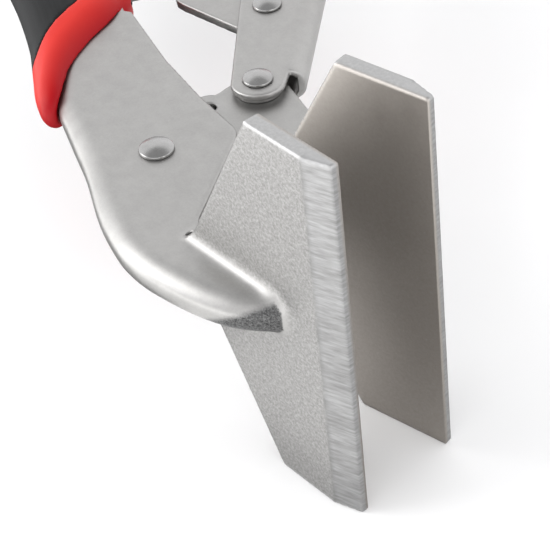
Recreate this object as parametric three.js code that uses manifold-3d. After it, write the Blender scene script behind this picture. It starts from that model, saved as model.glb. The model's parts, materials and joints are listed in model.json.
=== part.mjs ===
// Compound-action hand seamer: a pair of wide flat jaws for folding sheet metal, worked by two angled handles.
// Millimetres, +Z up. The pivots stand along Z. The tool points along +X, and the moving jaw opens towards +Y.
// The origin is on the gripping face of the fixed jaw, 10 mm behind its lip and halfway along it.

import * as THREE from 'three';
import { mergeVertices } from 'three/addons/utils/BufferGeometryUtils.js';
import Module from 'manifold-3d';

const wasm = await Module();
wasm.setup();

// ---- driving dimensions ----
const jawWidth = 82.5; // lip length, along Z
const lipX = 10; // lip in front of the origin
const bladeThickness = 3.4;
const lipThickness = 1.55;
const bevelLength = 5.6;
const bladeDepth = 20.5; // full-width part, from the lip back
const bladeLength = 41; // lip to neck
const outerHalf = 4.1; // half height of the pressed channels
const webThickness = 1.5;
const wallThickness = 2; // the folded outer side of a channel
const foldRadius = 3.3;
const jawPlateHalf = 1.5;
const linkHalf = 1;
const openingDeg = 19; // between the closed lips and the rest pose
const faceDeg = 9.9; // slant of the moving jaw's gripping face at rest
const lipSetback = 0.9; // the moving lip stands this much behind the fixed one
const runGap = 0.05; // between faces that slide on each other
const leverFold = 9.3; // outer side of the lever's fold, from the line through the jaw pivot
const lugRadius = 5.7; // round front ends of the lever's cheeks
const gripHalf = 7.8; // half height of the rubber grips
const gripEdge = 2; // radius of their long edges
const coreWall = 1.2; // red rubber round the tang, under the black sleeve
const sleeveGap = 0.1; // between the red rubber and the sleeve

const mainPivot = new THREE.Vector2(-57, 9.2);
const jawPivot = new THREE.Vector2(-60.2, 38.2);
const linkFront = new THREE.Vector2(-79.4, 57.3);
const linkRear = new THREE.Vector2(-118, 34);
const hookHole = new THREE.Vector2(-63, 27.3);
const springAnchor = new THREE.Vector2(-104, 23.5);

const rivetRadius = 2.6;
const rearPinRadius = 2;
const rearHoleRadius = 3.1; // the linkage is open at this pivot, so the link's hole is loose
const springPinRadius = 1.2;
const washerRadius = 5;
const holeGap = 0.08;
const through = 10; // a cutter this far out on each side passes through any plate

// Handle frames: a point on the handle, the direction towards its free end, and the hand of its outer side.
const fixedGrip = { x: -92.7, y: 21.3, deg: 156.2, outer: -1 };
const leverGrip = { x: jawPivot.x, y: jawPivot.y, deg: 131, outer: 1 };

const webInner = outerHalf - webThickness;

// ---- materials ----
const finish = (color, roughness, metalness) => new THREE.MeshStandardMaterial({ color, roughness, metalness });
const nickelPlate = finish(0xb9b8b6, 0.42, 0.9);
const rivetSteel = finish(0xc9c6c4, 0.25, 1.0);
const springSteel = finish(0x9a9896, 0.35, 0.9);
const redRubber = finish(0xd8322b, 0.55, 0);
const blackRubber = finish(0x3f4042, 0.7, 0);

// ---- helpers: solids from three.js geometry ----

function solid(geometry) {
  const bare = geometry.index ? geometry.toNonIndexed() : geometry;
  bare.deleteAttribute('normal');
  bare.deleteAttribute('uv');
  const merged = mergeVertices(bare, 1e-4);
  const vertProperties = new Float32Array(merged.attributes.position.array);
  const triVerts = new Uint32Array(merged.index.array);
  return new wasm.Manifold(new wasm.Mesh({ numProp: 3, vertProperties, triVerts }));
}

function node(name, body, material) {
  const { vertProperties, triVerts } = body.getMesh();
  const geometry = new THREE.BufferGeometry();
  geometry.setAttribute('position', new THREE.BufferAttribute(vertProperties, 3));
  geometry.setIndex(new THREE.BufferAttribute(triVerts, 1));
  geometry.computeVertexNormals();
  const mesh = new THREE.Mesh(geometry, material);
  mesh.name = name;
  return mesh;
}

// A flat outline raised from z = low to z = high.
function plate(shape, low, high, curveSegments = 4) {
  const geometry = new THREE.ExtrudeGeometry(shape, { depth: high - low, bevelEnabled: false, curveSegments });
  return solid(geometry.translate(0, 0, low));
}

// The same, symmetric about z = 0 with its long edges rounded.
function roundedPlate(shape, half, radius, curveSegments = 4) {
  const geometry = new THREE.ExtrudeGeometry(shape, {
    depth: 2 * (half - radius), curveSegments,
    bevelThickness: radius, bevelSize: radius, bevelOffset: -radius, bevelSegments: 4,
  });
  return solid(geometry.translate(0, 0, radius - half));
}

function disc(centre, radius, low, high, sides = 20) {
  const geometry = new THREE.CylinderGeometry(radius, radius, high - low, sides);
  geometry.rotateX(Math.PI / 2).translate(centre.x, centre.y, (low + high) / 2);
  return solid(geometry);
}

function polygon(points) {
  return new THREE.Shape(points.map(([x, y]) => new THREE.Vector2(x, y)));
}

// Points given as [along the handle, towards its outer side] in a handle frame.
function onHandle(frame, points) {
  const angle = THREE.MathUtils.degToRad(frame.deg);
  const along = new THREE.Vector2(Math.cos(angle), Math.sin(angle));
  const side = new THREE.Vector2(along.y, -along.x).multiplyScalar(frame.outer);
  return points.map(([s, t]) => [frame.x + s * along.x + t * side.x, frame.y + s * along.y + t * side.y]);
}

function curveThrough(points, steps) {
  const curve = new THREE.SplineCurve(points.map(([x, y]) => new THREE.Vector2(x, y)));
  return curve.getPoints(steps).map((p) => [p.x, p.y]);
}

// The same line moved sideways: to its left where distance is positive.
function offsetLine(points, distance) {
  return points.map(([x, y], i) => {
    const [x0, y0] = points[Math.max(i - 1, 0)];
    const [x1, y1] = points[Math.min(i + 1, points.length - 1)];
    const length = Math.hypot(x1 - x0, y1 - y0);
    return [x - (distance * (y1 - y0)) / length, y + (distance * (x1 - x0)) / length];
  });
}

// ---- jaw blades ----

// A blade with its lip at the origin, its gripping face on y = 0 and its ground bevel on the -Y side.
function blade() {
  const section = polygon([
    [0, 0], [-bladeLength, 0], [-bladeLength, -bladeThickness], [-bevelLength, -bladeThickness],
    [0, -lipThickness],
  ]);
  const half = jawWidth / 2;
  const face = polygon([
    [-bladeLength, -outerHalf], [-bladeDepth, -half], [1, -half], [1, half], [-bladeDepth, half],
    [-bladeLength, outerHalf],
  ]);
  const silhouette = new THREE.ExtrudeGeometry(face, { depth: 3 * bladeThickness, bevelEnabled: false });
  silhouette.rotateX(Math.PI / 2).translate(0, bladeThickness, 0);
  return plate(section, -half, half).intersect(solid(silhouette));
}

const lip = new THREE.Vector2(lipX, 0);
const movingLip = lip.clone().rotateAround(mainPivot, THREE.MathUtils.degToRad(openingDeg));

// ---- fixed jaw and its handle arm: a channel folded along its outer side ----

const armNose = curveThrough([[-4.2, -2.6], [-5.4, -6.2], [-9.2, -9.4], [-13.6, -11.7], [-20.8, -13.8],
  [-30, -15], [-41.8, -13.9], [-51.9, -10.2], [-64.2, -3.8]], 20);
const armBack = [[-85, 5.2], ...onHandle(fixedGrip, [[-7, 10.6], [0, 9.2], [60, 7], [104, 6.5]])];
const armOuter = [...armNose, ...armBack];
const armInner = [
  ...onHandle(fixedGrip, [[104, -7], [60, -9]]),
  [-101, 35.4], [-99.5, 36.2], [-79.7, 29.9], [-64.3, 26.5], [-51.5, 24.6], [-48.5, 22.5],
  [-34.5, 1.5], [-31.5, -0.4], [-30.5, -1.7],
];

function fixedJawArm() {
  const wide = [...armOuter, ...onHandle(fixedGrip, [[150, 6.5], [150, -60]]), [-4.2, 60]];
  const foldedSide = roundedPlate(polygon(wide), outerHalf, foldRadius);
  const web = plate(polygon([...armOuter, ...armInner]), -outerHalf, outerHalf);
  const wallLine = offsetLine(armOuter, -wallThickness).filter(([x]) => x < -38);
  const hollow = polygon([
    [-31.4, -0.9], [-33.5, -3], [-37, -9], ...wallLine,
    ...onHandle(fixedGrip, [[110, 4.5], [110, -60]]), [-31.4, 60],
  ]);
  return blade().translate(lipX, 0, 0)
    .add(foldedSide.intersect(web))
    .subtract(plate(hollow, -webInner, webInner))
    .subtract(disc(mainPivot, rivetRadius + holeGap, -through, through))
    .subtract(disc(linkRear, rearPinRadius + holeGap, -through, through))
    .subtract(disc(springAnchor, springPinRadius + holeGap, -through, through, 12));
}

// ---- moving jaw: a blade on a flat plate that swings inside the fixed arm's channel ----

function movingJaw() {
  const arcFrom = (centre, radius, from, to, steps) => Array.from({ length: steps + 1 }, (_, i) => {
    const angle = THREE.MathUtils.degToRad(from + ((to - from) * i) / steps);
    return [centre.x + radius * Math.cos(angle), centre.y + radius * Math.sin(angle)];
  });
  const back = curveThrough([[-7.2, 23.4], [-10.5, 28.4], [-18, 31.6], [-30, 34.6], [-44, 39.4]], 12);
  const swingPlate = polygon([
    ...arcFrom(mainPivot, 9, 180, 300, 8),
    [-36, 12.2], [-31.4, 15], [-9, 21.2],
    ...back,
    ...arcFrom(jawPivot, 6, 73, 200, 8),
    ...arcFrom(hookHole, 4.5, 125, 190, 5),
  ]);
  const gusset = polygon([[-31.6, 17], [-9, 21.2], ...back.slice(0, -2), [-37.4, 36.9]]);
  const root = new THREE.Vector2(-31.6, 17);
  const slant = blade().mirror([0, 1, 0]).translate(-lipSetback, 0, 0).rotate([0, 0, faceDeg])
    .translate(movingLip.x, movingLip.y, 0);
  return slant
    .add(plate(swingPlate, -jawPlateHalf, jawPlateHalf))
    .add(plate(gusset, -outerHalf, outerHalf).add(disc(root, 1, -outerHalf, outerHalf, 12)))
    .subtract(disc(mainPivot, rivetRadius + holeGap, -through, through))
    .subtract(disc(jawPivot, rivetRadius + holeGap, -through, through))
    .subtract(disc(hookHole, 1.5, -through, through, 12));
}

// ---- lever handle: a channel with its fold on the outer side and two lugs at the front ----

function leverHandle() {
  const lug = Array.from({ length: 9 }, (_, i) => {
    const angle = THREE.MathUtils.degToRad(250 - i * 20);
    return [lugRadius * Math.cos(angle), lugRadius * Math.sin(angle)];
  });
  const outline = onHandle(leverGrip, [
    ...lug, [3.4, 6], [4.2, leverFold], [48, leverFold], [54, 7], [150, 6.5],
    [150, -6], [54, -7.6], [49, -8.2], [28, -8],
  ]);
  const foldLine = [[-20, leverFold], [48, leverFold], [54, 7], [170, 6.5]];
  const wide = onHandle(leverGrip, [[-20, -40], ...foldLine, [170, -40]]);
  const foldedSide = roundedPlate(polygon(wide), outerHalf, foldRadius + 0.4);
  const shell = plate(polygon(outline), -outerHalf, outerHalf).intersect(foldedSide);
  const inside = leverFold - wallThickness;
  const hollow = onHandle(leverGrip, [
    [-20, inside], [48, inside], [54, 5], [154, 4.5], [154, -40], [-20, -40],
  ]);
  return shell
    .subtract(plate(polygon(hollow), -webInner, webInner))
    .subtract(disc(jawPivot, rivetRadius + holeGap, -through, through))
    .subtract(disc(linkFront, rivetRadius + holeGap, -through, through));
}

// ---- toggle link: a stamped plate from the lever to the fixed arm ----

function toggleLink() {
  const outline = polygon([
    [-76, 52.4], [-81.5, 50.2], [-98.6, 48.1], [-99.8, 48.3], [-103.4, 50.4], [-108, 44.6],
    [-113.2, 32.5], [-122.6, 36], [-115, 46.5], [-106, 55.5], [-96, 60.8], [-81.5, 62.9],
  ]);
  return plate(outline, -linkHalf, linkHalf)
    .add(disc(linkFront, 6, -linkHalf, linkHalf))
    .add(disc(linkRear, 5, -linkHalf, linkHalf))
    .subtract(disc(linkFront, rivetRadius + holeGap, -through, through))
    .subtract(disc(linkRear, rearHoleRadius, -through, through));
}

// ---- rivets, pins, washers ----

// A shank with a domed head at each end, turned about Z.
function rivet(centre, headRadius, headHeight) {
  const seat = outerHalf + runGap;
  const dome = [0, 0.35, 0.7, 0.92, 1].map((part) => [
    headRadius * part, seat + headHeight * (1 - 0.72 * part * part),
  ]);
  const upper = [...dome, [headRadius, seat], [rivetRadius, seat]];
  const lower = upper.map(([r, z]) => [r, -z]).reverse();
  const profile = [...upper, ...lower].map(([r, z]) => new THREE.Vector2(r, -z));
  const geometry = new THREE.LatheGeometry(profile, 20);
  geometry.rotateX(-Math.PI / 2).translate(centre.x, centre.y, 0);
  return solid(geometry);
}

function washer(centre, holeRadius, inner, upper) {
  const low = inner + runGap;
  const high = webInner - runGap;
  const hole = disc(centre, holeRadius + holeGap, -through, through);
  const ring = disc(centre, washerRadius, low, high).subtract(hole);
  return upper ? ring : ring.mirror([0, 0, 1]);
}

// ---- return spring: an extension spring from the jaw plate's ear to a pin in the fixed arm ----

const wireRadius = 0.4;
const coilRadius = 1.7; // to the middle of the wire

function wire(points, steps) {
  const path = new THREE.CatmullRomCurve3(points.map((p) => new THREE.Vector3(...p)), false, 'centripetal');
  const section = new THREE.Shape().absarc(0, 0, wireRadius, 0, 2 * Math.PI);
  return solid(new THREE.ExtrudeGeometry(section, { steps, extrudePath: path, curveSegments: 4 }));
}

function returnSpring() {
  const run = new THREE.Vector2().subVectors(hookHole, springAnchor);
  const along = (distance, z) => {
    const p = run.clone().setLength(distance).add(springAnchor);
    return [p.x, p.y, z];
  };
  const [coilStart, coilEnd] = [5, run.length() - 8];
  const rim = [coilRadius - wireRadius, coilRadius + wireRadius];
  const coilLength = coilEnd - coilStart;
  const wall = [[rim[0], 0], [rim[1], 0], [rim[1], coilLength], [rim[0], coilLength], [rim[0], 0]];
  const sleeve = new THREE.LatheGeometry(wall.map(([r, h]) => new THREE.Vector2(r, h)), 12);
  sleeve.rotateZ(run.angle() - Math.PI / 2).translate(...along(coilStart, 0));
  const eye = new THREE.TorusGeometry(springPinRadius + 0.15 + wireRadius, wireRadius, 6, 14);
  eye.translate(springAnchor.x, springAnchor.y, 0);
  const tail = wire([along(1.75, 0), along(3.5, 0.3), along(coilStart + 1.5, coilRadius)], 6);
  const hook = wire([
    along(coilEnd - 1.5, coilRadius), along(coilEnd + 2, 2.04), along(run.length() - 1, 2.04),
    along(run.length(), 1.4), along(run.length(), -2),
  ], 14);
  return solid(sleeve).add(solid(eye)).add(tail).add(hook);
}

// ---- grips: a red inner sleeve that ends in a thick collar, and a black outer sleeve ----

// Plan outlines in a handle frame. The front edge and the edge of the black sleeve both sweep forward on the
// handle's outer side.
const gripPlan = {
  fixed: {
    frame: fixedGrip,
    front: [[17.5, -12], [15, -11.2], [13, -10], [10.4, -7.6], [6.8, -3.4], [3.7, -0.2], [0.3, 2.8],
      [-3.6, 5.6], [-6.6, 7.4], [-9.9, 9.4], [-12.7, 11.9]],
    back: [[-11, 14.6], [-6.7, 15], [-0.2, 14.2], [6.1, 13.3], [11.7, 12.4], [19.5, 11.7], [36.5, 11.7],
      [60, 12.6], [90, 13.4], [106, 12.2], [113, 7], [114, 0], [112, -8], [104, -13], [90, -14], [60, -13.6],
      [32, -14.2], [24, -13.6]],
    band: [[23.5, -14], [22.5, -10.5], [20.6, -6.8], [18.3, -3.4], [15.8, -0.2], [13.3, 2.8], [10.7, 5.9],
      [8, 8.8], [5.9, 11], [5.4, 12.4], [7, 16]],
    tang: [[-30, 12.3], [-6, 12], [0, 9.9], [60, 7.6], [105, 7.1], [105, -7.6], [60, -9.6], [12, -12],
      [-30, -14]],
  },
  lever: {
    frame: leverGrip,
    front: [[58, -12.2], [56, -9.4], [53.6, -4.6], [51, -0.6], [48.4, 3.6], [46, 7.6], [44.4, 11.4]],
    back: [[46.4, 13.6], [54, 13.6], [66, 12.4], [110, 13.4], [140, 13.8], [156, 12], [163, 6], [164, 0],
      [162, -7], [154, -12], [140, -13.2], [110, -12.6], [80, -13.2], [66, -13.6]],
    band: [[69, -14], [67, -9.4], [64, -4], [61, 1], [58, 6], [56, 10.6], [56, 14]],
    tang: [[20, 9.9], [48, 9.9], [54, 7.6], [151, 7.1], [151, -6.6], [54, -8.2], [49, -8.8], [20, -8.8]],
  },
};

function gripPieces({ frame, front, back, band, tang }) {
  const outside = roundedPlate(polygon(onHandle(frame, [...front, ...back])), gripHalf, gripEdge);
  const grow = (points, distance) => offsetLine([points.at(-1), ...points, points[0]], distance).slice(1, -1);
  const layer = (wall) => plate(
    polygon(onHandle(frame, grow(tang, wall))), -outerHalf - wall - runGap, outerHalf + wall + runGap,
  );
  const behind = (gap) => {
    const line = band.map(([s, t]) => [s + gap, t]);
    const area = [[line[0][0], -40], ...line, [line.at(-1)[0], 40], [300, 40], [300, -40]];
    return plate(polygon(onHandle(frame, area)), -through, through);
  };
  const core = outside.subtract(behind(0))
    .add(outside.intersect(layer(coreWall)))
    .subtract(layer(0));
  const sleeve = outside.intersect(behind(sleeveGap)).subtract(layer(coreWall + sleeveGap));
  return { core, sleeve };
}

// ---- assembly ----

const group = new THREE.Group();
const pinHalf = outerHalf - runGap;
const fixedGripPieces = gripPieces(gripPlan.fixed);
const leverGripPieces = gripPieces(gripPlan.lever);
const linkSlot = plate(polygon(onHandle(fixedGrip, [[-20, -4], [40, -4], [40, -30], [-20, -30]])), -1.8, 1.8);

group.add(
  node('fixed_jaw_arm', fixedJawArm(), nickelPlate),
  node('moving_jaw', movingJaw(), nickelPlate),
  node('lever_handle', leverHandle(), nickelPlate),
  node('toggle_link', toggleLink(), nickelPlate),
  node('main_rivet', rivet(mainPivot, 3.6, 1.5), rivetSteel),
  node('jaw_rivet', rivet(jawPivot, 3.15, 1.3), rivetSteel),
  node('link_rivet_front', rivet(linkFront, 3.15, 1.3), rivetSteel),
  node('link_pin_rear', disc(linkRear, rearPinRadius, -pinHalf, pinHalf), rivetSteel),
  node('spring_anchor_pin', disc(springAnchor, springPinRadius, -pinHalf, pinHalf, 12), rivetSteel),
  node('return_spring', returnSpring(), springSteel),
  node('fixed_grip_core', fixedGripPieces.core.subtract(linkSlot), redRubber),
  node('fixed_grip_sleeve', fixedGripPieces.sleeve.subtract(linkSlot), blackRubber),
  node('lever_grip_core', leverGripPieces.core, redRubber),
  node('lever_grip_sleeve', leverGripPieces.sleeve, blackRubber),
);

const washerSeats = [
  ['main', mainPivot, rivetRadius, jawPlateHalf],
  ['jaw', jawPivot, rivetRadius, jawPlateHalf],
  ['link_front', linkFront, rivetRadius, linkHalf],
  ['link_rear', linkRear, rearPinRadius, linkHalf],
];
for (const [name, centre, holeRadius, inner] of washerSeats) {
  group.add(node(`${name}_washer_upper`, washer(centre, holeRadius, inner, true), rivetSteel));
  group.add(node(`${name}_washer_lower`, washer(centre, holeRadius, inner, false), rivetSteel));
}

export default group;
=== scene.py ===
# %% [markdown]
# # A hand seamer
# A hand seamer folds the edge of sheet metal. Two wide flat jaws grip the sheet, a pressed steel arm
# carries the fixed jaw, and a lever with a toggle link closes the other one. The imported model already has
# every part at its real size and on its real pivots, so this script only builds the fine surfaces that ride
# on those bodies.

# %% Load the frame
import json
import math

import bpy
import numpy as np
from mathutils import Matrix, Vector


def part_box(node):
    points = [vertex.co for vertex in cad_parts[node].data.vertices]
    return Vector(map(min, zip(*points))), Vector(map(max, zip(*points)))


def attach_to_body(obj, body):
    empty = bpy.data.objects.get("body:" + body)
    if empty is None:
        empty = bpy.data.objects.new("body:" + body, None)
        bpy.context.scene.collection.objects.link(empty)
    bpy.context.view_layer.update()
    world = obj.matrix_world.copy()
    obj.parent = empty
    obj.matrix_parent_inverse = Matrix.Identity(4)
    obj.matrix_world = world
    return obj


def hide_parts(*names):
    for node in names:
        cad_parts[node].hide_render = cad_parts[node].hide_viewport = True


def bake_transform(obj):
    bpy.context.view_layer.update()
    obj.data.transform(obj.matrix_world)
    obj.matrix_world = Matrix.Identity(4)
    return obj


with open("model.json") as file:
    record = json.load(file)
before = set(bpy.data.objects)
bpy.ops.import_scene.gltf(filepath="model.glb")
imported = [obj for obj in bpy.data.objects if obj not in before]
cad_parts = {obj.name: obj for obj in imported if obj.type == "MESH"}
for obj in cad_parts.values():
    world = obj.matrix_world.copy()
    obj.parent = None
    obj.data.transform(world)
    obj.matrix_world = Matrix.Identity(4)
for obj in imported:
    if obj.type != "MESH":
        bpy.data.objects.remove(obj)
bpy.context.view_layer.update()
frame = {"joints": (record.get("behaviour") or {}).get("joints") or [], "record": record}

MM = 0.001  # the outlines below are in millimetres, and meshes are in metres

# %% [markdown]
# ## Camera
# A long lens from above and to the right looks down the lips of both jaws. A camera looks along its own -Z
# axis, so a direction turned into a quaternion aims it, and one more turn about the view line gives the
# slight roll.

# %% Place the camera
def add_object(name, data):
    made = bpy.data.objects.new(name, data)
    bpy.context.scene.collection.objects.link(made)
    return made


def add_camera(place, target, roll_degrees, lens):
    data = bpy.data.cameras.new("camera")
    data.lens = lens
    camera = add_object("camera", data)
    aim = (Vector(target) - Vector(place)).to_track_quat("-Z", "Y").to_matrix().to_4x4()
    roll = Matrix.Rotation(math.radians(roll_degrees), 4, "Z")
    camera.matrix_world = Matrix.Translation(place) @ aim @ roll
    bpy.context.scene.camera = camera
    return camera


camera = add_camera((0.23327, -0.18218, 0.26234), (-0.00484, -0.00447, 0.01095), -6.5676, 144)
print("camera looks along", camera.matrix_world.to_3x3() @ Vector((0, 0, -1)))

# %% [markdown]
# ## Pivots
# Every pivot comes from the frame: a joint has its own point, and a pin's point is the middle of its box.

# %% Find the pivots
def pivot_of(joint_name):
    joint = next(j for j in frame["joints"] if j["name"] == joint_name)
    return np.array(joint["pos_m"][:2]) / MM


def middle_of(node):
    low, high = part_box(node)
    return np.array(((low + high) / 2)[:2]) / MM


MAIN_PIVOT = pivot_of("jaw_hinge")
JAW_PIVOT = pivot_of("lever_hinge")
LINK_FRONT = pivot_of("link_hinge")
LINK_REAR = middle_of("link_pin_rear")
SPRING_PIN = middle_of("spring_anchor_pin")
HOOK_HOLE = np.array((-63.0, 27.3))
RIVET_HOLE = 2.7  # radius
print("pivots (mm):", MAIN_PIVOT, JAW_PIVOT, LINK_FRONT, LINK_REAR, SPRING_PIN)

# %% [markdown]
# ## Outlines
# Pressed steel is drawn as flat outlines. Round stretches come from an arc or from a smooth curve through a
# few points, so each list holds only the points that its shape needs.

# %% Draw outlines
def arc(centre, radius, start, end, steps=10):
    angles = np.radians(np.linspace(start, end, steps + 1))
    return [(centre[0] + radius * math.cos(a), centre[1] + radius * math.sin(a)) for a in angles]


def curve_through(points, per_span=6):
    """A Catmull-Rom curve: it passes through every point and leaves no corner."""
    p = np.array([points[0], *points, points[-1]], float)
    made = []
    for i in range(1, len(p) - 2):
        for t in np.linspace(0, 1, per_span, endpoint=False):
            a, b, c, d = p[i - 1], p[i], p[i + 1], p[i + 2]
            made.append(0.5 * (2 * b + (c - a) * t + (2 * a - 5 * b + 4 * c - d) * t**2
                               + (3 * b - a - 3 * c + d) * t**3))
    return [tuple(q) for q in made] + [tuple(p[-1])]


def sideways(points, distance):
    """The same line moved to its left."""
    p = np.array(points, float)
    run = np.gradient(p, axis=0)
    run /= np.hypot(run[:, 0], run[:, 1])[:, None]
    return [tuple(q) for q in p + distance * np.stack([-run[:, 1], run[:, 0]], 1)]


print("half of a quarter turn:", arc((0, 0), 1, 0, 90, 2)[1])

# %% Place outlines
class Place:
    """A flat frame of its own inside the model: an origin, a direction, and the hand of its second axis."""

    def __init__(self, origin, degrees, hand=1):
        along = np.array((math.cos(math.radians(degrees)), math.sin(math.radians(degrees))))
        self.origin, self.hand = np.array(origin, float), hand
        self.axes = np.array([along, hand * np.array((-along[1], along[0]))])

    def out(self, points):
        p = np.array(points, float)
        p[:, :2] = self.origin + p[:, :2] @ self.axes
        return p

    def into(self, points):
        return [tuple(q) for q in (np.array(points, float) - self.origin) @ self.axes.T]


WORLD = Place((0, 0), 0)
FIXED_DEGREES = 156.2
LEVER_DEGREES = 131
FIXED_GRIP = Place((-92.7, 21.3), FIXED_DEGREES)  # s runs along the handle, t towards its outer side
LEVER_GRIP = Place(JAW_PIVOT, LEVER_DEGREES, hand=-1)
print("the fixed handle's line starts at", FIXED_GRIP.out([(0, 0)])[0])

# %% [markdown]
# ## Solid shapes from distances
# A pressing has folds, soft edges and fillets that run into each other, and joining such shapes with
# booleans and bevels often breaks. Here each shape is a formula for the distance to its surface, below zero
# inside. The larger of two distances cuts one shape by the other and the smaller joins them, and a soft
# larger or smaller leaves a rounded edge or a fillet.

# %% Measure distances
def soft_max(a, b, width):
    mix = np.clip(0.5 + 0.5 * (a - b) / width, 0, 1)
    return b + (a - b) * mix + width * mix * (1 - mix)


def soft_min(a, b, width):
    return -soft_max(-a, -b, width)


def outline_distance(points, x, y):
    """Distance to a closed outline, below zero inside it."""
    nearest, inside = np.inf, False
    for (x0, y0), (x1, y1) in zip(points, [*points[1:], points[0]]):
        ex, ey = x1 - x0, y1 - y0
        if ex * ex + ey * ey < 1e-12:
            continue
        share = np.clip(((x - x0) * ex + (y - y0) * ey) / (ex * ex + ey * ey), 0, 1)
        nearest = np.minimum(nearest, (x - x0 - share * ex) ** 2 + (y - y0 - share * ey) ** 2)
        if y0 != y1:
            inside = inside ^ (((y0 <= y) != (y1 <= y)) & (x < x0 + (y - y0) * ex / ey))
    return np.where(inside, -1, 1) * np.sqrt(nearest)


def raised(flat, z, half, ease):
    """A flat shape raised to z = -half..half with its long edges rounded."""
    side, top = flat + ease, np.abs(z) - (half - ease)
    return np.minimum(np.maximum(side, top), 0) + np.hypot(np.maximum(side, 0), np.maximum(top, 0)) - ease


def bore(centre, radius, x, y):
    return np.hypot(x - centre[0], y - centre[1]) - radius


print("from a rivet's axis to the wall of its hole:", bore((0, 0), RIVET_HOLE, 0, 0))

# %% [markdown]
# Dual contouring turns a distance into a mesh. Every grid cell that the surface passes through gets one
# vertex, at the point that fits best the surface's crossings and slopes on the cell's edges, so that crisp
# edges stay crisp. The marching cubes of a voxel remesh would chamfer them.

# %% Make meshes from distances
def slopes(distance, p, reach=0.02):
    total = np.zeros_like(p)
    for direction in np.array([(1, 1, 1), (1, -1, -1), (-1, 1, -1), (-1, -1, 1)], float):
        q = p + reach * direction
        total += direction * distance(q[:, 0], q[:, 1], q[:, 2])[:, None]
    return total / np.maximum(np.linalg.norm(total, axis=1), 1e-9)[:, None]


def contour(distance, low, high, step):
    """The cells round each grid edge that crosses the surface, the crossings, and the quads between cells."""
    lines = [np.arange(a, b + step, step) for a, b in zip(low, high)]
    start = np.array([line[0] for line in lines])
    field = np.ascontiguousarray(np.broadcast_to(distance(*np.ix_(*lines)), [len(line) for line in lines]))
    inside = field < 0
    cells_shape = np.array(inside.shape) - 1
    edge_cells, edge_points, quads = [], [], []
    for axis in range(3):
        near = np.take(inside, np.arange(inside.shape[axis] - 1), axis)
        far = np.take(inside, np.arange(1, inside.shape[axis]), axis)
        at = np.argwhere(near != far)
        ends = at.copy()
        ends[:, axis] += 1
        a, b = field[tuple(at.T)], field[tuple(ends.T)]
        crossing = at.astype(float)
        crossing[:, axis] += a / (a - b)
        edge_points.append(start + crossing * step)
        u, v = (axis + 1) % 3, (axis + 2) % 3
        ring = []
        for du, dv in ((0, 0), (-1, 0), (-1, -1), (0, -1)):
            cell = at.copy()
            cell[:, u] += du
            cell[:, v] += dv
            ring.append(np.ravel_multi_index(tuple(np.clip(cell, 0, cells_shape - 1).T), cells_shape))
        edge_cells += ring
        ring = np.stack(ring, 1)
        quads.append(np.where(near[tuple(at.T)][:, None], ring, ring[:, ::-1]))
    return edge_cells, edge_points, quads

# %% Turn them into objects
PULL = 0.05  # how strongly a vertex is held to the middle of its crossings


def add_mesh(name, vertices, faces):
    """A smooth object. Its vertices are given in millimetres, and its mesh is in metres."""
    mesh = bpy.data.meshes.new(name)
    mesh.from_pydata((np.array(vertices) * MM).tolist(), [], faces)
    mesh.validate()
    mesh.shade_smooth()
    return add_object(name, mesh)


def build_piece(name, distance, low, high, step=0.5, place=WORLD):
    """A mesh object on the surface of distance. The box and the distance are in place's own frame."""
    edge_cells, edge_points, quads = contour(distance, low, high, step)
    cells, number = np.unique(np.concatenate(edge_cells), return_inverse=True)
    crossings = np.concatenate(edge_points)
    normals = slopes(distance, crossings)
    # each crossing belongs to the four cells round its edge
    lengths = [len(points) for points in edge_points]
    parts = np.split(np.arange(len(crossings)), np.cumsum(lengths)[:-1])
    crossing_of = np.concatenate([np.tile(part, 4) for part in parts])
    p, n = crossings[crossing_of], normals[crossing_of]
    count = np.bincount(number, minlength=len(cells)).astype(float)

    def gather(values):
        return np.stack([np.bincount(number, values[:, i], len(cells)) for i in range(values.shape[1])], 1)

    mean = gather(p) / count[:, None]
    outer = (n[:, :, None] * n[:, None, :]).reshape(-1, 9)
    away = ((p - mean[number]) * n).sum(1)[:, None]
    matrix = gather(outer).reshape(-1, 3, 3) + PULL * np.eye(3)
    shift = np.linalg.solve(matrix, gather(n * away)[:, :, None])[:, :, 0]
    points = mean + np.clip(shift, -0.6 * step, 0.6 * step)
    lookup = np.searchsorted(cells, np.concatenate(quads))
    if place.hand < 0:
        lookup = lookup[:, ::-1]
    piece = add_mesh(name, place.out(points), lookup.tolist())
    print(name, len(piece.data.vertices), "vertices", len(piece.data.polygons), "quads")
    return piece


def spots_of(piece):
    """Its vertices, back in millimetres."""
    return np.array([v.co for v in piece.data.vertices]) / MM


def mark(piece, attribute, values):
    """A number on each vertex that a material can read."""
    made = piece.data.attributes.new(attribute, "FLOAT", "POINT")
    made.data.foreach_set("value", values.astype(np.float32))

# %% [markdown]
# ## The jaw blade
# Both jaws end in the same forged blade, 82.5 mm wide. Its gripping face is flat, its back has a ground
# bevel down to a thin lip, and behind the bevel it narrows in a trapezium to the width of the arm. One
# function measures it for both jaws, with its lip at the origin and its gripping face on y = 0. A second
# one marks its surfaces with numbers, so that the metal's finish can tell them apart.

# %% Measure a blade
JAW_HALF_WIDTH = 41.25
ARM_HALF = 4.1
BLADE_THICKNESS = 3.4
LIP_THICKNESS = 1.55
BEVEL_LENGTH = 5.6
BLADE_DEPTH = 20.5
BLADE_LENGTH = 41

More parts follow.
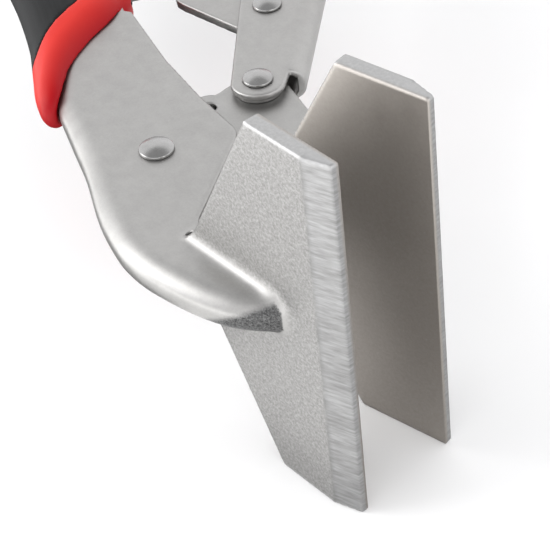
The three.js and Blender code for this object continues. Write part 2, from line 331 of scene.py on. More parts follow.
BLADE_SECTION = [(0, 0), (-BLADE_LENGTH, 0), (-BLADE_LENGTH, -BLADE_THICKNESS),
                 (-BEVEL_LENGTH, -BLADE_THICKNESS), (0, -LIP_THICKNESS)]
BLADE_FACE = [(-BLADE_LENGTH, -ARM_HALF), (-BLADE_DEPTH, -JAW_HALF_WIDTH), (1, -JAW_HALF_WIDTH),
              (1, JAW_HALF_WIDTH), (-BLADE_DEPTH, JAW_HALF_WIDTH), (-BLADE_LENGTH, ARM_HALF)]


def blade_distance(x, y, z):
    return soft_max(outline_distance(BLADE_SECTION, x, y), outline_distance(BLADE_FACE, x, z), 0.45)


def mark_blade(piece, x, y, z):
    """Says where the blade, its bevel, the ridge behind that, the gripping face and the blade's ends are."""
    behind = x + BEVEL_LENGTH
    mark(piece, "blade", np.clip((y + BLADE_THICKNESS + 0.8) / 0.8, 0, 1) * (x > -BLADE_LENGTH - 0.5))
    mark(piece, "bevel", np.clip((behind + 0.2) / 0.4, 0, 1) * (y < -0.3))
    mark(piece, "ridge", np.clip(1 - np.abs(behind) / 0.6, 0, 1) * (y < -BLADE_THICKNESS + 0.6))
    mark(piece, "grip_face", 1.0 * (y > -0.05) * (y < 0.4) * (x > -BLADE_LENGTH))
    mark(piece, "blade_end", np.clip((np.abs(z) - JAW_HALF_WIDTH + 0.6) / 0.4, 0, 1))


print("the blade's lip is", LIP_THICKNESS, "mm thick and", 2 * JAW_HALF_WIDTH, "mm wide")

# %% [markdown]
# ## The fixed jaw and its arm
# The arm is one pressing. It is folded round along its outer side, so its section is a U that is open
# towards the moving jaw, and its nose runs under the blade and is welded to it with a smooth fillet.

# %% Draw the arm
LIP_X = 10
FOLD_RADIUS = 4.05
FOLD_OVAL = 0.85  # the fold is wider in plan than it is high
CHANNEL_HALF = 2.6
WALL = 2
NOTCH = (-31.5, -3.1)
NOTCH_RADIUS = 0.9
NOTCH_FLOOR = 3.1  # the notch is cut into the cheeks down to this height

arm_outer = [
    *curve_through([(-4.2, -2.6), (-5.4, -6.2), (-9.2, -9.4), (-13.6, -11.7), (-20.8, -13.7), (-30, -14.9),
                    (-36, -14.8), (-42, -13.6), (-51.9, -10.0), (-64.2, -3.7), (-74, 0.5), (-85, 5.2)], 5),
    *FIXED_GRIP.out([(-7, 10.6), (0, 9.2), (60, 7), (100, 6.5)])[:, :2].tolist(),
]
arm_inner = [
    *FIXED_GRIP.out([(100, -7), (60, -9)])[:, :2].tolist(),
    (-101, 35.4), (-99.5, 36.2), (-79.7, 29.9), (-64.3, 26.5), (-51.5, 24.6), (-50, 23.9), (-48.5, 22.4),
    (-34.5, 1.5), (-33, 0), (-31.5, -0.4), (-30.5, -1.7),
]
arm_web = [*arm_outer, *arm_inner]
beyond = FIXED_GRIP.out([(150, 6.5), (150, -60)])[:, :2].tolist()
arm_wide = [*arm_outer, *beyond, (-4.2, 60)]
channel_wall = [p for p in sideways(arm_outer, -WALL) if p[0] < -38]
channel = [(-31.4, -0.9), (-33.5, -3), (-37, -9), *channel_wall,
           *FIXED_GRIP.out([(130, 4.5), (130, -60)])[:, :2].tolist(), (-31.4, 60)]
print(len(arm_web), "points round the arm and", len(channel), "round its channel")

# %% Build the fixed jaw and arm
def fixed_arm_distance(x, y, z):
    fold = raised(FOLD_OVAL * outline_distance(arm_wide, x, y), z, ARM_HALF, FOLD_RADIUS)
    arm = soft_max(fold, outline_distance(arm_web, x, y), 0.5)
    hollow = raised(outline_distance(channel, x, y), z, CHANNEL_HALF, 1.4)
    arm = soft_max(arm, -hollow, 0.4)
    jaw = soft_min(arm, blade_distance(x - LIP_X, y, z), 3.0)
    jaw = np.maximum(jaw, np.minimum(y, x - LIP_X + BLADE_LENGTH + 0.3))
    for centre, radius in ((MAIN_PIVOT, RIVET_HOLE), (LINK_REAR, 2.1), (SPRING_PIN, 1.3)):
        jaw = np.maximum(jaw, -bore(centre, radius, x, y))
    notch = np.maximum(bore(NOTCH, NOTCH_RADIUS, x, y), NOTCH_FLOOR - np.abs(z))
    return soft_max(jaw, -notch, 0.2)


def mark_nose(piece, x, y, z):
    """Says where the arm's nose is made darker, below a line that slants across its underside."""
    slant = -0.8 + 0.5 * (x + 14.5)
    mark(piece, "nose", np.clip((slant - z) / 1.2 + 0.5, 0, 1) * (y < -4.4) * (x > -22))


fixed_jaw = build_piece("fixed_jaw_and_arm", fixed_arm_distance, (-189, -17, -42.25), (11, 66, 42.25))
spots = spots_of(fixed_jaw)
mark_blade(fixed_jaw, spots[:, 0] - LIP_X, spots[:, 1], spots[:, 2])
mark_nose(fixed_jaw, spots[:, 0], spots[:, 1], spots[:, 2])

# %% [markdown]
# ## The moving jaw
# The second blade stands on a flat plate that swings inside the arm's channel, with a thicker gusset where
# the two meet. The mesh is made in the blade's own slanted frame, so that the grid runs along its edges.

# %% Draw the moving jaw's plate
OPENING = 19  # degrees from closed lips to the rest pose
FACE_SLANT = 9.9
LIP_SETBACK = 0.9
PLATE_HALF = 1.5

moving_lip = Place(MAIN_PIVOT, OPENING).out([np.array((LIP_X, 0)) - MAIN_PIVOT])[0]
MOVING_BLADE = Place(moving_lip, FACE_SLANT)

jaw_back = curve_through([(-7.2, 23.4), (-10.5, 28.4), (-18, 31.6), (-30, 34.6), (-44, 39.4)], 5)
swing_plate = MOVING_BLADE.into([
    *arc(MAIN_PIVOT, 9, 180, 300, 16), (-36, 12.2), (-31.4, 15), (-9, 21.2), *jaw_back,
    *arc(JAW_PIVOT, 6, 73, 200, 14), *arc(HOOK_HOLE, 4.5, 125, 190, 8),
])
gusset = MOVING_BLADE.into([(-32.2, 16.3), (-31.4, 15.8), (-9, 21.2), *jaw_back[:-5], (-37.4, 36.9)])
main_hole, jaw_hole, hook_hole = MOVING_BLADE.into([MAIN_PIVOT, JAW_PIVOT, HOOK_HOLE])
print("the moving lip rests at", moving_lip, "and", len(swing_plate), "points go round the plate")

# %% Build the moving jaw
def moving_jaw_distance(x, y, z):
    blade = blade_distance(x + LIP_SETBACK, -y, z)
    plate = raised(outline_distance(swing_plate, x, y), z, PLATE_HALF, 0.35)
    thick = raised(outline_distance(gusset, x, y), z, ARM_HALF, 1.2)
    jaw = soft_min(soft_min(plate, thick, 1.2), blade, 2.4)
    jaw = np.maximum(jaw, np.minimum(-y, x + LIP_SETBACK + BLADE_LENGTH + 0.3))
    for centre, radius in ((main_hole, RIVET_HOLE), (jaw_hole, RIVET_HOLE), (hook_hole, 1.5)):
        jaw = np.maximum(jaw, -bore(centre, radius, x, y))
    return jaw


moving_jaw = build_piece("moving_jaw_and_plate", moving_jaw_distance, (-78, -6, -42.25), (1, 32, 42.25),
                         place=MOVING_BLADE)
spots = spots_of(moving_jaw)
local = np.array(MOVING_BLADE.into(spots[:, :2]))
mark_blade(moving_jaw, local[:, 0] + LIP_SETBACK, -local[:, 1], spots[:, 2])

# %% [markdown]
# ## The lever
# The lever is a second pressing, folded along its outer side. Its two flat cheeks run forward past the fold
# and end in round lugs that straddle the moving jaw's plate.

# %% Build the lever
FOLD_SIDE = 9.3
LUG_RADIUS = 5.7
lever_outline = [*arc((0, 0), LUG_RADIUS, 250, 90, 20), (3.4, 6), (4.2, FOLD_SIDE), (48, FOLD_SIDE),
                 (54, 7), (148, 6.5), (148, -6), (54, -7.6), (49, -8.2), (28, -8)]
lever_wide = [(-20, -40), (-20, FOLD_SIDE), (48, FOLD_SIDE), (54, 7), (170, 6.5), (170, -40)]
lever_hollow = [(-20, FOLD_SIDE - WALL), (48, FOLD_SIDE - WALL), (54, 5), (170, 4.5), (170, -40), (-20, -40)]
lever_link_hole = LEVER_GRIP.into([LINK_FRONT])[0]


def lever_distance(s, t, z):
    fold = raised(FOLD_OVAL * outline_distance(lever_wide, s, t), z, ARM_HALF, FOLD_RADIUS)
    lever = soft_max(fold, outline_distance(lever_outline, s, t), 0.5)
    hollow = raised(outline_distance(lever_hollow, s, t), z, CHANNEL_HALF, 1.6)
    lever = soft_max(lever, -hollow, 0.4)
    for centre in ((0, 0), lever_link_hole):
        lever = np.maximum(lever, -bore(centre, RIVET_HOLE, s, t))
    return lever


lever = build_piece("lever_pressing", lever_distance, (-7, -9.5, -5), (149, 10.5, 5), place=LEVER_GRIP)

# %% [markdown]
# ## The toggle link
# A stamped plate joins the lever to a pin in the fixed arm. Stamping leaves one edge slightly rounded.

# %% Build the link
link_outline = [(-76, 52.4), (-81.5, 50.2), (-97.6, 48.1), (-99.4, 48.2), (-100.6, 48.9), (-103.4, 50.4),
                (-108, 44.6), (-113.2, 32.5), (-122.6, 36), (-115, 46.5), (-106, 55.5), (-96, 60.8),
                (-81.5, 62.9)]
LINK_HALF = 1
REAR_HOLE = 3.1  # loose on its pin, which gives the linkage its play


def link_distance(x, y, z):
    flat = np.minimum(outline_distance(link_outline, x, y),
                      np.minimum(bore(LINK_FRONT, 6, x, y), bore(LINK_REAR, 5, x, y)))
    flat = np.maximum(flat, -np.minimum(bore(LINK_FRONT, RIVET_HOLE, x, y),
                                        bore(LINK_REAR, REAR_HOLE, x, y)))
    return raised(flat, z, LINK_HALF, 0.3)


link = build_piece("toggle_link_plate", link_distance, (-125, 27, -1.6), (-72, 65, 1.6), step=0.4)

# %% [markdown]
# ## Rivets, pins and washers
# Turned parts are a profile spun round an axis. The rivets have low domed heads with a tight rim, which
# catch a bright crescent of light, so they get many segments.

# %% Spin a profile
def spin(name, centre, profile, segments=64, ring=False):
    """Spins (radius, z) points round a centre. A ring's profile closes on itself instead of on the axis."""
    angles = np.linspace(0, 2 * math.pi, segments, endpoint=False)
    rows = [[(centre[0] + r * math.cos(a), centre[1] + r * math.sin(a), z) for a in angles]
            for r, z in profile]
    vertices = [v for row in rows for v in row]
    faces = []
    for i in range(len(profile) if ring else len(profile) - 1):
        here, there = i * segments, ((i + 1) % len(profile)) * segments
        for k in range(segments):
            m = (k + 1) % segments
            faces.append((here + k, there + k, there + m, here + m))
    if not ring:
        faces.append(tuple(range(segments)))
        faces.append(tuple(reversed(range(len(vertices) - segments, len(vertices)))))
    return add_mesh(name, vertices, faces)

# %% Spin the rivets, pins and washers
RIVET_SHANK = 2.6
DOME_FALL = 0.62  # how much of its height a domed head loses towards the rim
RIM = 0.9  # where the dome ends and the rim begins, as a share of the radius
RIM_STEPS = 5


def dome(radius, height, seat):
    """From near the axis to the rim of a domed head, and down round the rim to its seat."""
    cap = [(radius * q, seat + height * (1 - DOME_FALL * q * q)) for q in np.linspace(0.03, RIM, 14)]
    edge = arc((RIM * radius, seat + 0.22 * height), 0.1 * radius, 62, 0, RIM_STEPS)
    drop = seat + height * (1 - DOME_FALL * RIM**2) - edge[0][1]
    rim = [(r, z + drop * (1 - i / RIM_STEPS)) for i, (r, z) in enumerate(edge[1:], 1)]
    return [*cap, *rim, (radius, seat)]


def spin_rivet(name, centre, radius, height):
    seat = ARM_HALF + 0.03
    top = [*dome(radius, height, seat), (RIVET_SHANK, seat - 0.02)]
    return spin(name, centre, [*top, *[(r, -z) for r, z in reversed(top)]])


def spin_pin(name, centre, radius, half, chamfer=0.3):
    end = [(0.05, half), (radius - chamfer, half), (radius - 0.08, half - 0.1), (radius, half - chamfer)]
    return spin(name, centre, [*end, *[(r, -z) for r, z in reversed(end)]], 40)


def spin_washer(name, centre, hole, low, high, outer=5, soft=0.12):
    mid = (low + high) / 2
    half = (high - low) / 2
    profile = [(hole, mid + half - soft), (hole + soft, mid + half), (outer - soft, mid + half),
               (outer, mid + half - soft), (outer, mid - half + soft), (outer - soft, mid - half),
               (hole + soft, mid - half), (hole, mid - half + soft)]
    return spin(name, centre, profile, 48, ring=True)


rivets = {
    "main_rivet": spin_rivet("main_rivet_domed", MAIN_PIVOT, 3.6, 1.5),
    "jaw_rivet": spin_rivet("jaw_rivet_domed", JAW_PIVOT, 3.15, 1.3),
    "link_rivet_front": spin_rivet("link_rivet_domed", LINK_FRONT, 3.15, 1.3),
    "link_pin_rear": spin_pin("link_pin_turned", LINK_REAR, 2, 4.05),
    "spring_anchor_pin": spin_pin("spring_pin_turned", SPRING_PIN, 1.2, 4.05),
}
WASHER_HOLE = 2.68
WASHER_TOP = 2.55  # just inside the channel's wall
BY_PLATE, BY_LINK = PLATE_HALF + 0.05, LINK_HALF + 0.05
washers = {}
for seat_name, centre, hole, inner in (("main", MAIN_PIVOT, WASHER_HOLE, BY_PLATE),
                                       ("jaw", JAW_PIVOT, WASHER_HOLE, BY_PLATE),
                                       ("link_front", LINK_FRONT, WASHER_HOLE, BY_LINK),
                                       ("link_rear", LINK_REAR, 2.08, BY_LINK)):
    for side, (low, high) in (("upper", (inner, WASHER_TOP)), ("lower", (-WASHER_TOP, -inner))):
        node = f"{seat_name}_washer_{side}"
        washers[node] = spin_washer(f"{node}_turned", centre, hole, low, high)
print(len(rivets), "rivets and pins,", len(washers), "washers")

# %% [markdown]
# ## The return spring
# A wound wire pulls the moving jaw open. It is swept along a helix with an eye at the pin and a hook
# through the jaw plate's ear.

# %% Sweep a wire
def sweep(name, path, radius, sides=8):
    """A round wire along a path, with its section carried along without twist."""
    path = np.array(path, float)
    run = np.gradient(path, axis=0)
    run /= np.linalg.norm(run, axis=1)[:, None]
    side = np.cross(run[0], (0.3, 0.2, 1.0))
    vertices = []
    for point, tangent in zip(path, run):
        side = side - tangent * (side @ tangent)
        side /= np.linalg.norm(side)
        other = np.cross(tangent, side)
        for angle in np.linspace(0, 2 * math.pi, sides, endpoint=False):
            vertices.append(point + radius * (math.cos(angle) * side + math.sin(angle) * other))
    faces = [tuple(reversed(range(sides))), tuple(range(len(vertices) - sides, len(vertices)))]
    for i in range(len(path) - 1):
        for k in range(sides):
            m = (k + 1) % sides
            faces.append((i * sides + k, i * sides + m, (i + 1) * sides + m, (i + 1) * sides + k))
    return add_mesh(name, vertices, faces)

# %% Wind the spring
WIRE = 0.4  # radius, and so are the next two
COIL = 1.7
EYE = 1.75
PITCH = 0.95


def spring_path():
    run = HOOK_HOLE - SPRING_PIN
    length = np.hypot(*run)
    along = np.array((*run / length, 0))
    across = np.array((-along[1], along[0], 0))
    up = np.array((0, 0, 1))
    pin = np.array((*SPRING_PIN, 0))
    first, last = 5.0, length - 8
    eye = [pin - EYE * (math.cos(a) * along + math.sin(a) * across)
           for a in np.linspace(0.5 * math.pi, 2.9 * math.pi, 26)]
    turns = round((last - first) / PITCH)
    coil = [pin + (first + (last - first) * t) * along
            + COIL * (math.sin(2 * math.pi * turns * t) * across + math.cos(2 * math.pi * turns * t) * up)
            for t in np.linspace(0, 1, turns * 14 + 1)]
    hook = [pin + s * along + h * up
            for s, h in ((last + 2, 2.04), (length - 1, 2.04), (length - 0.2, 1.6), (length, 0.8),
                         (length, -1.2), (length - 0.5, -2.1), (length - 2.2, -2.3))]
    return [*eye, *coil, *hook]


spring = sweep("return_spring_wound", spring_path(), WIRE)
print("spring has", len(spring.data.vertices), "vertices")

# %% [markdown]
# ## The grips
# Each grip is moulded in two rubbers: a red one that shows as a thick rolled collar at the front, and a
# charcoal sleeve behind it. Both come from one rounded body in the handle's own frame, cut along a curved
# line, with the handle's tang taken out of the middle. The red one carries on under the sleeve as a thin
# core. A plan holds the outlines of one grip: its sides, its front, the line between the rubbers, the tang,
# and the box to mesh.

# %% Draw the grips
GRIP_HALF = 7.8
GRIP_OVAL = 0.85  # the section is a full round, stretched sideways by one over this
CORE_WALL = 0.5
MOUTH_SHADE_LENGTH = 5.5  # the painted shade fades in over this length from where the collar is rolled down to the arm
SEAM = 0.03  # half the joint between the two rubbers
SLOT_START, SLOT_END, SLOT_TOP = 18.5, 40, -4  # the fixed grip's slot for the link, in s and in t
SLOT_HALF = 1.8

grip_plans = {
    "fixed": {
        "place": FIXED_GRIP,
        "sides": [(-26, 14.4), (-16, 14.8), (-6.7, 14.9), (-0.2, 14.0), (6.1, 13.0), (11.7, 12.2),
                  (19.5, 11.7), (28, 11.5), (36.5, 11.7), (60, 12.6), (90, 13.4), (106, 12.2), (113, 7),
                  (114, 0), (112, -8), (104, -13), (90, -14), (60, -13.6), (32, -14.2), (26, -13.9),
                  (20.5, -12.9), (14, -12.2), (0, -12), (-26, -12)],
        "front": [(21, -20), (15.2, -13.2), (12.2, -10.4), (9.6, -7.8), (6.2, -4.0), (3.2, -0.9),
                  (-0.2, 2.1), (-4.1, 4.9), (-7.3, 6.8), (-10.4, 8.6), (-13, 10.8), (-14.3, 13.4),
                  (-14.5, 16), (-14.5, 20)],
        "band": [(24.5, -16), (22.5, -10.5), (20.6, -6.8), (18.3, -3.4), (15.8, -0.2), (13.3, 2.8),
                 (10.7, 5.9), (8, 8.8), (5.3, 11), (3.8, 12.6), (4.2, 14.6), (5.5, 17)],
        "tang": [(-30, 11.9), (-13.5, 11.75), (-7, 10.75), (0, 9.35), (60, 7.2), (105, 6.7), (105, -7.6),
                 (60, -9.6), (15, -10), (12, -11.2), (-8, -13.4), (-30, -14)],
        "box": ((-17, -17, -9), (116, 17, 9)),
    },
    "lever": {
        "place": LEVER_GRIP,
        "sides": [(30, 14.6), (46, 14.4), (54, 13.6), (66, 12.4), (80, 12.4), (110, 13.4), (140, 13.8),
                  (156, 12), (163, 6), (164, 0), (162, -7), (154, -12), (140, -13.2), (110, -12.6),
                  (80, -13.2), (68, -13.6), (60, -12.9), (54, -12), (30, -12)],
        "front": [(66, -20), (60, -13.6), (56.6, -10.4), (53.6, -4.6), (51, -0.6), (48.4, 3.6), (46, 7.6),
                  (44.4, 11), (44, 15), (44, 20)],
        "band": [(70, -16), (67, -9.4), (64, -4), (61, 1), (58, 6), (56, 10.6), (56.4, 13), (58, 17)],
        "tang": [(20, 9.9), (48, 9.9), (54, 7.6), (151, 7.1), (151, -6.6), (54, -8.2), (49, -8.8),
                 (20, -8.8)],
        "box": ((41, -16, -9), (166, 16, 9)),
    },
}
print({side: len(plan["sides"]) for side, plan in grip_plans.items()}, "points along the grips' sides")

# %% Measure a grip
def grip_distances(plan, slotted):
    """Distances to the red core and to the sleeve, and how strongly the collar is painted in shade where it
    is rolled down to the arm.
    """
    def far_side(line):
        edge = curve_through(line, 5)
        return [(edge[0][0], -60), *edge, (edge[-1][0], 60), (300, 60), (300, -60)]

    sides = curve_through(plan["sides"], 5)
    front, band_edge = far_side(plan["front"]), far_side(plan["band"])

    def body(s, t, z):
        flat = soft_max(outline_distance(sides, s, t), outline_distance(front, s, t), 5)
        return raised(GRIP_OVAL * flat, z, GRIP_HALF, GRIP_HALF)

    def slot(s, t, z):
        box = np.maximum(np.maximum(s - SLOT_END, SLOT_START - s), t - SLOT_TOP)
        return raised(box, z, SLOT_HALF, 0.4)

    def cored(s, t, z, wall):
        tang = outline_distance(plan["tang"], s, t) - wall
        return raised(tang, z, ARM_HALF + 0.05 + wall, 3.8)

    def core(s, t, z):
        band = soft_max(body(s, t, z), -outline_distance(band_edge, s, t) + SEAM, 0.3)
        layer = np.maximum(cored(s, t, z, CORE_WALL), body(s, t, z) + 1.2)
        red = np.minimum(band, layer)
        red = soft_max(red, -cored(s, t, z, 0.1), 0.5)
        return np.maximum(red, -slot(s, t, z)) if slotted else red

    def sleeve(s, t, z):
        black = soft_max(body(s, t, z), outline_distance(band_edge, s, t) + SEAM, 0.3)
        black = np.maximum(black, -cored(s, t, z, CORE_WALL + 0.05))
        return np.maximum(black, -slot(s, t, z)) if slotted else black

    def mouth(s, t):
        return np.clip(1.35 + outline_distance(front, s, t) / MOUTH_SHADE_LENGTH, 0, 1)

    return core, sleeve, mouth

# %% Build the grips
grips = {}
for side, plan in grip_plans.items():
    core, sleeve, mouth = grip_distances(plan, slotted=side == "fixed")
    low, high = plan["box"]
    collar = build_piece(f"{side}_grip_collar", core, low, high, 0.5, plan["place"])
    on_handle = np.array(plan["place"].into(spots_of(collar)[:, :2]))
    # Painted shade: this marks where the collar rolls down to the arm, to be coloured a deeper red.
    mark(collar, "mouth", mouth(on_handle[:, 0], on_handle[:, 1]))
    grips[f"{side}_grip_core"] = collar
    grips[f"{side}_grip_sleeve"] = build_piece(f"{side}_grip_cover", sleeve, low, high, 0.6, plan["place"])

# %% [markdown]
# ## Writing materials as sums
# A shader graph is easier to read as an expression. A Wire stands for one output socket, and adding or
# multiplying Wires adds Math nodes. Any other node comes from one method, which sets the node's own
# settings first and then the values or links of its sockets.

# %% Wrap a socket
class Wire:
    """One output socket, with the arithmetic that adds Math nodes behind it."""

    def __init__(self, finish, socket):
        self.finish, self.socket = finish, socket

    def _math(self, operation, a, b):
        return self.finish.node("ShaderNodeMath", {"operation": operation}, {0: a, 1: b})

    def __add__(self, other):
        return self._math("ADD", self, other)

    def __sub__(self, other):
        return self._math("SUBTRACT", self, other)

    def __rsub__(self, other):
        return self._math("SUBTRACT", other, self)

    def __mul__(self, other):
        return self._math("MULTIPLY", self, other)

    __radd__, __rmul__ = __add__, __mul__

# %% Wrap a material
class Finish:
    """One material: a Principled shader and the nodes that feed it."""

    def __init__(self, name, **constants):
        self.material = bpy.data.materials.new(name)
        self.material.use_nodes = True
        self.tree = self.material.node_tree
        self.shader = self.tree.nodes["Principled BSDF"]
        for socket, value in constants.items():
            self.shader.inputs[socket.replace("_", " ")].default_value = value

    def node(self, kind, settings=None, sockets=None, output=0):
        made = self.tree.nodes.new(kind)
        for name, value in (settings or {}).items():
            if name == "stops":
                for element, (place, tone) in zip(made.color_ramp.elements, value):
                    element.position, element.color = place, (tone, tone, tone, 1)
            else:
                setattr(made, name, value)
        for name, value in (sockets or {}).items():
            if isinstance(value, Wire):
                self.tree.links.new(value.socket, made.inputs[name])
            else:
                made.inputs[name].default_value = value
        return Wire(self, made.outputs[output])

    def place(self):
        return self.node("ShaderNodeTexCoord", output="Object")

    def stretch(self, vector, amounts):
        return self.node("ShaderNodeVectorMath", {"operation": "MULTIPLY"}, {0: vector, 1: amounts})

    def noise(self, vector, scale, detail, roughness):
        return self.node("ShaderNodeTexNoise", {},
                         {"Vector": vector, "Scale": scale, "Detail": detail, "Roughness": roughness})

    def ramp(self, value, start, end):
        return self.node("ShaderNodeValToRGB", {"stops": ((start, 0.0), (end, 1.0))}, {0: value})

    def attribute(self, name):
        return self.node("ShaderNodeAttribute", {"attribute_name": name}, output="Fac")

    def mix(self, share, a, b):
        """A colour between a and b."""
        mixed = self.tree.nodes.new("ShaderNodeMix")
        mixed.data_type = "RGBA"
        for socket, value in (("Factor_Float", share), ("A_Color", a), ("B_Color", b)):
            target = next(i for i in mixed.inputs if i.identifier == socket)
            if isinstance(value, Wire):
                self.tree.links.new(value.socket, target)
            else:
                target.default_value = value
        return Wire(self, next(o for o in mixed.outputs if o.identifier == "Result_Color"))

    def bump(self, height, strength, distance):
        return self.node("ShaderNodeBump", {},
                         {"Height": height, "Strength": strength, "Distance": distance})

    def feed(self, **wires):
        for socket, wire in wires.items():
            self.tree.links.new(wire.socket, self.shader.inputs[socket.replace("_", " ")])
        return self.material


def grey(tone, warmth=0.0):
    """A grey that leans to yellow as warmth grows."""
    return (tone * (1 + warmth), tone, tone * (1 - 1.6 * warmth), 1)


print("a warm grey:", grey(0.4, 0.014))

# %% [markdown]
# ## Satin nickel
# The pressings are nickel plated over blasted steel. The arms are smooth and a little cloudy, the blades
# have a coarser grain, and the bevels show the marks of the grinding wheel across them. The gripping faces
# carry painted shade, darker and browner low down and lighter towards the top, and the nose is dark and
# grainy.
# The numbers marked on the meshes say where each of these is, and the material mixes its textures by them.

# %% Make the nickel finish
def satin_nickel(name):
    m = Finish(name, Metallic=1.0)
    place = m.place()
    blade, bevel = m.attribute("blade"), m.attribute("bevel")
    cloud = m.noise(place, 70, 4, 0.6)
    patch = m.noise(place, 320, 3, 0.6)
    grain = m.noise(place, 2600, 3, 0.75)
    coarse = m.noise(place, 1500, 4, 0.8)
    ground = m.noise(m.stretch(place, (220, 220, 1700)), 1, 3, 0.6)
    wear = m.ramp(m.noise(place, 900, 5, 0.75), 0.62, 0.78)
    tone = 0.32 * cloud + 0.34 * patch + 0.34 * grain
    arm_tone = m.mix(m.ramp(tone, 0.38, 0.62), grey(0.345, 0.014), grey(0.41, 0.014))
    blade_tone = m.mix(m.ramp(coarse, 0.34, 0.68), grey(0.218, 0.016), grey(0.415, 0.010))
    bevel_tone = m.mix(m.ramp(ground, 0.3, 0.7), grey(0.24, 0.006), grey(0.38, 0.0))
    colour = m.mix(bevel, m.mix(blade, arm_tone, blade_tone), bevel_tone)
    colour = m.mix(m.attribute("blade_end") * 0.8, colour, m.mix(coarse, grey(0.40), grey(0.56)))
    colour = m.mix(m.attribute("nose"), colour, m.mix(m.ramp(grain, 0.35, 0.65), grey(0.035), grey(0.17)))
    # Painted shade on the gripping faces: darker and browner low down, where the blades face each other, and
    # lighter towards the top edge.
    upper = m.node("ShaderNodeMapRange", {}, {"Value": m.node("ShaderNodeSeparateXYZ", {}, {0: place}, 2),
                                              "From Min": 0.008, "From Max": 0.042})
    gripping = m.mix(upper, (0.325, 0.297, 0.268, 1), (0.47, 0.435, 0.40, 1))
    colour = m.mix(m.attribute("grip_face") * 0.8, colour, gripping)
    colour = m.mix(m.attribute("ridge") * m.ramp(patch, 0.3, 0.6) * 0.5, colour, grey(0.16))
    colour = m.mix(wear * 0.25, colour, grey(0.58))
    rough = 0.34 + 0.1 * cloud + 0.06 * patch + 0.07 * blade
    height = grain * 0.35 * (1 - blade) + coarse * blade * (1 - bevel * 0.6) + ground * bevel * 0.8
    normal = m.bump(height, 0.32, 0.00012)
    return m.feed(Base_Color=colour, Roughness=rough, Normal=normal)


nickel = satin_nickel("satin_nickel")
print(nickel.name, "has", len(nickel.node_tree.nodes), "nodes")

# %% Make the plain steels
def plain_steel(name, tone, roughness):
    m = Finish(name, Metallic=1.0)
    place = m.place()
    cloud = m.noise(place, 260, 4, 0.6)
    fine = m.noise(place, 2400, 3, 0.7)
    colour = m.mix(m.ramp(cloud, 0.25, 0.75), grey(tone * 0.82, 0.01), grey(tone * 1.12, 0.006))
    return m.feed(Base_Color=colour, Roughness=roughness + 0.12 * cloud,
                  Normal=m.bump(fine, 0.2, 0.00006))


rivet_finish = plain_steel("rivet_plating", 0.365, 0.17)
washer_finish = plain_steel("washer_plating", 0.36, 0.3)
wire_finish = plain_steel("drawn_spring_wire", 0.30, 0.26)
print("steels:", [finish.name for finish in (rivet_finish, washer_finish, wire_finish)])

# %% [markdown]
# ## Rubber
# The red rubber is satin, with painted shade that makes it a deeper red where the collar is rolled down to
# the arm.
# The charcoal rubber is matt, with faint flow streaks along the handle from the mould and a fine grain.

# %% Make the rubber finishes
def red_rubber():
    m = Finish("red_soft_rubber", Specular_IOR_Level=0.16)
    place = m.place()
    cloud = m.noise(place, 90, 3, 0.5)
    fine = m.noise(place, 1900, 3, 0.6)
    colour = m.mix(cloud, (0.58, 0.022, 0.016, 1), (0.68, 0.036, 0.024, 1))
    # Painted shade: a deeper red where the collar rolls down to the arm.
    colour = m.mix(m.attribute("mouth"), colour, (0.34, 0.002, 0.006, 1))
    return m.feed(Base_Color=colour, Roughness=0.38 + 0.12 * cloud + 0.05 * fine,
                  Normal=m.bump(fine, 0.12, 0.00008))


def black_rubber(name, along):
    m = Finish(name, Specular_IOR_Level=0.2)
    turned = m.node("ShaderNodeVectorRotate", {"rotation_type": "Z_AXIS"},
                    {"Vector": m.place(), "Angle": -math.radians(along)})
    streak = m.noise(m.stretch(turned, (60, 900, 900)), 1, 3, 0.6)
    cloud = m.noise(m.place(), 130, 4, 0.6)
    fine = m.noise(m.place(), 2600, 2, 0.6)
    mixed = 0.55 * streak + 0.45 * cloud
    colour = m.mix(m.ramp(mixed, 0.35, 0.65), (0.007, 0.0075, 0.008, 1), (0.016, 0.0165, 0.0175, 1))
    return m.feed(Base_Color=colour, Roughness=0.55 + 0.15 * cloud + 0.05 * streak,
                  Normal=m.bump(fine + 0.6 * streak, 0.2, 0.0001))


red = red_rubber()
black_fixed = black_rubber("charcoal_rubber_fixed", FIXED_DEGREES)
black_lever = black_rubber("charcoal_rubber_lever", LEVER_DEGREES)
print("rubbers:", [finish.name for finish in (red, black_fixed, black_lever)])

# %% [markdown]
# ## Putting the pieces on their bodies
# Every piece gets its finish, rides on the body it belongs to, and stands for the plain solid of the packed
# model. The spring joins two bodies, so it rides on neither and stays where it is built.

# %% Dress and attach
def attach(piece, node, material):
    piece.data.materials.append(material)
    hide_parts(node)
    body = next(name for name, nodes in frame["record"]["behaviour"]["bodies"].items() if node in nodes)
    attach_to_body(piece, body)


attach(fixed_jaw, "fixed_jaw_arm", nickel)
attach(moving_jaw, "moving_jaw", nickel)
attach(lever, "lever_handle", nickel)
attach(link, "toggle_link", nickel)
for node, piece in rivets.items():
    attach(piece, node, rivet_finish)
for node, piece in washers.items():
    attach(piece, node, washer_finish)
for node, piece in grips.items():
    if node.endswith("core"):
        attach(piece, node, red)
    else:
        attach(piece, node, black_fixed if node.startswith("fixed") else black_lever)

spring.data.materials.append(wire_finish)
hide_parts("return_spring")
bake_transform(spring)
print("dressed", 5 + len(rivets) + len(washers) + len(grips), "pieces")

# %% [markdown]
# ## Floor
# The wide blades reach lowest, so one large pale square lies just under their ends. It only has to catch a
# soft shadow, so a matt white with a faint speck is enough.

# %% Lay the floor
FLOOR_LEVEL = -JAW_HALF_WIDTH * MM - 0.0002
FLOOR_REACH = 3.0


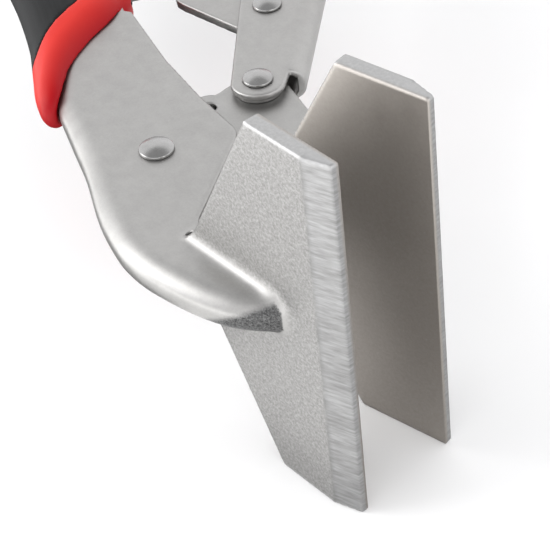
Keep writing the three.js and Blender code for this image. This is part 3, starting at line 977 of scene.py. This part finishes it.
def pale_floor():
    m = Finish("pale_floor", Roughness=0.9, Specular_IOR_Level=0.1)
    speck = m.noise(m.place(), 40, 2, 0.5)
    colour = m.mix(speck, (0.95, 0.95, 0.95, 1), (0.97, 0.97, 0.97, 1))
    mesh = bpy.data.meshes.new("floor")
    signs = ((-1, -1), (1, -1), (1, 1), (-1, 1))
    corners = [(x * FLOOR_REACH, y * FLOOR_REACH, FLOOR_LEVEL) for x, y in signs]
    mesh.from_pydata(corners, [], [(0, 1, 2, 3)])
    mesh.materials.append(m.feed(Base_Color=colour))
    floor = add_object("floor", mesh)


pale_floor()
print("the floor is at", FLOOR_LEVEL)

# %% [markdown]
# ## Light
# Satin metal shows what it reflects, so its look comes from everything round it and not only from lamps. A
# white sky and a soft panel on each side light the tool. Two cards lie just above the floor, where only
# reflections see them: a glowing one in front of the fold draws its bright band, and a black one under the
# handles draws the dark line below the band.

# %% Hang the panels
PANEL_TARGET = Vector((-0.03, 0.01, 0))


def soft_panel(name, direction, distance, size, power):
    data = bpy.data.lights.new(name, "AREA")
    data.shape, data.size, data.size_y, data.energy = "RECTANGLE", size[0], size[1], power
    lamp = add_object(name, data)
    lamp.location = PANEL_TARGET + Vector(direction).normalized() * distance
    lamp.rotation_euler = (PANEL_TARGET - lamp.location).to_track_quat("-Z", "Y").to_euler()
    print(name, "is at", lamp.location)


soft_panel("left_panel", (-0.61, -0.60, 0.42), 0.9, (0.6, 0.75), 4.2)
soft_panel("right_panel", (0.9, -0.1, 0.55), 1.2, (0.7, 0.7), 2)

# %% Lay the cards
BLACK_LEVEL = -0.0406
WHITE_LEVEL = -0.0408  # lower, so that the black card covers it under the handles


def reflected_card(m, outline, level):
    """A card just above the floor that only reflections can see."""
    mesh = bpy.data.meshes.new(m.material.name)
    mesh.from_pydata([(x, y, level) for x, y in outline], [], [range(len(outline))])
    mesh.materials.append(m.material)
    card = add_object(m.material.name, mesh)
    card.visible_camera = card.visible_diffuse = card.visible_shadow = False
    print(card.name, "lies", level - FLOOR_LEVEL, "m above the floor")


def black_card():
    """Under the handles: it draws the dark line along the bottom of the fold."""
    m = Finish("black_card", Roughness=1.0, Base_Color=(0.01, 0.01, 0.01, 1))
    reflected_card(m, [(-0.22, -0.042), (-0.05, -0.042), (-0.05, 0.05), (-0.22, 0.05)], BLACK_LEVEL)


def white_card():
    """In front of the fold, glowing, and brighter away from the blade."""
    m = Finish("white_card", Roughness=1.0, Base_Color=(0, 0, 0, 1))
    x, y = (m.node("ShaderNodeSeparateXYZ", {}, {0: m.place()}, output) for output in (0, 1))
    behind = m.node("ShaderNodeMapRange", {}, {"Value": x, "From Min": -0.10, "From Max": -0.15})
    in_front = m.node("ShaderNodeMapRange", {}, {"Value": y, "From Min": -0.115, "From Max": -0.155})
    away = m.node("ShaderNodeMath", {"operation": "MAXIMUM"}, {0: behind, 1: in_front})
    m.shader.inputs["Emission Strength"].default_value = 3.3
    m.feed(Emission_Color=m.mix(away, grey(0.47), grey(1)))
    reflected_card(m, [(-0.9, -0.7), (0.2, -0.7), (0.2, -0.012), (-0.9, -0.012)], WHITE_LEVEL)


black_card()
white_card()

# %% Make the sky
def studio_sky():
    """White all round, and darker straight overhead."""
    world = bpy.data.worlds.new("studio")
    world.use_nodes = True
    tree = world.node_tree
    place = tree.nodes.new("ShaderNodeTexCoord")
    split = tree.nodes.new("ShaderNodeSeparateXYZ")
    ramp = tree.nodes.new("ShaderNodeValToRGB")
    stops = ((0.0, 0.80), (0.5, 0.86), (0.72, 0.80), (0.88, 0.35))
    for _ in stops[2:]:
        ramp.color_ramp.elements.new(0.5)
    for element, (height, tone) in zip(ramp.color_ramp.elements, stops):
        element.position, element.color = height, (tone, tone, tone * 1.01, 1)
    background = tree.nodes["Background"]
    tree.links.new(place.outputs["Generated"], split.inputs[0])
    tree.links.new(split.outputs["Z"], ramp.inputs[0])
    tree.links.new(ramp.outputs[0], background.inputs["Color"])
    background.inputs["Strength"].default_value = 1.65
    bpy.context.scene.world = world


studio_sky()
bpy.context.scene.view_settings.view_transform = "Standard"
print("the world is", bpy.context.scene.world.name)
